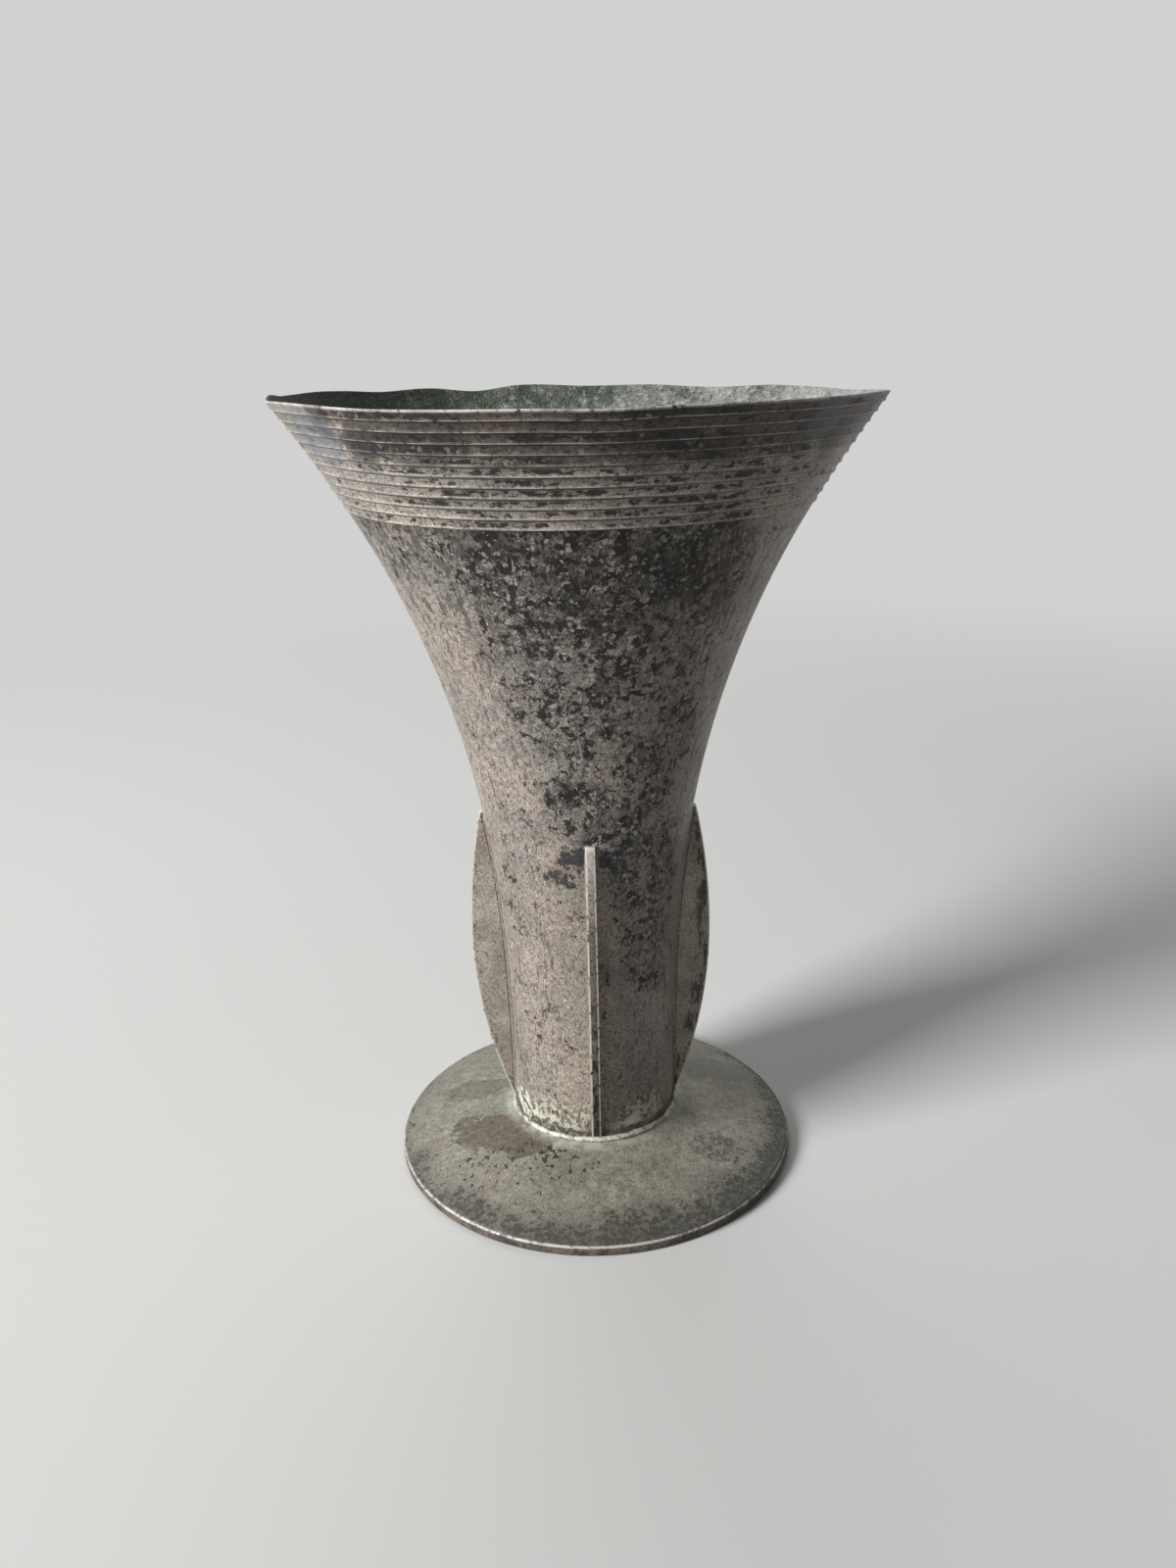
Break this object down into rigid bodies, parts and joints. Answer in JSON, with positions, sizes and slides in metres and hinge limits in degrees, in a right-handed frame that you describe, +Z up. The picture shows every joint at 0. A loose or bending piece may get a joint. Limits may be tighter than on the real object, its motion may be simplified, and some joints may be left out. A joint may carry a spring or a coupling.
{
  "type": "trumpet vase",
  "caption": "Flared metal trumpet vase with stepped rings under the rim, crescent fins up the barrel and a low round foot, for holding cut flowers.",
  "frame": {"origin": "middle of the base, on the surface that the vase stands on", "axes": "+Z up along the vase's own axis, towards the rim; one fin at each of -Y (front), +X, +Y and -X"},
  "size_m": [0.178, 0.178, 0.25],
  "materials": {
    "shell_plate": "worn and spotted silver plate on brass sheet",
    "foot_plate": "dull silver plate on brass sheet, grey-green in the middle",
    "floor_plate": "brass disc with verdigris",
    "fin_plate": "worn silver plate on brass plate",
    "solder": "dull soft solder"
  },
  "bodies": {
    "root": {"trumpet_shell": "shell_plate", "foot": "foot_plate", "floor_disc": "floor_plate", "foot_solder_ring": "solder", "floor_solder_ring": "solder", "fin_front": "fin_plate", "fin_right": "fin_plate", "fin_back": "fin_plate", "fin_left": "fin_plate", "fin_solder_front_a": "solder", "fin_solder_front_b": "solder", "fin_solder_right_a": "solder", "fin_solder_right_b": "solder", "fin_solder_back_a": "solder", "fin_solder_back_b": "solder", "fin_solder_left_a": "solder", "fin_solder_left_b": "solder"}
  },
  "joints": []
}
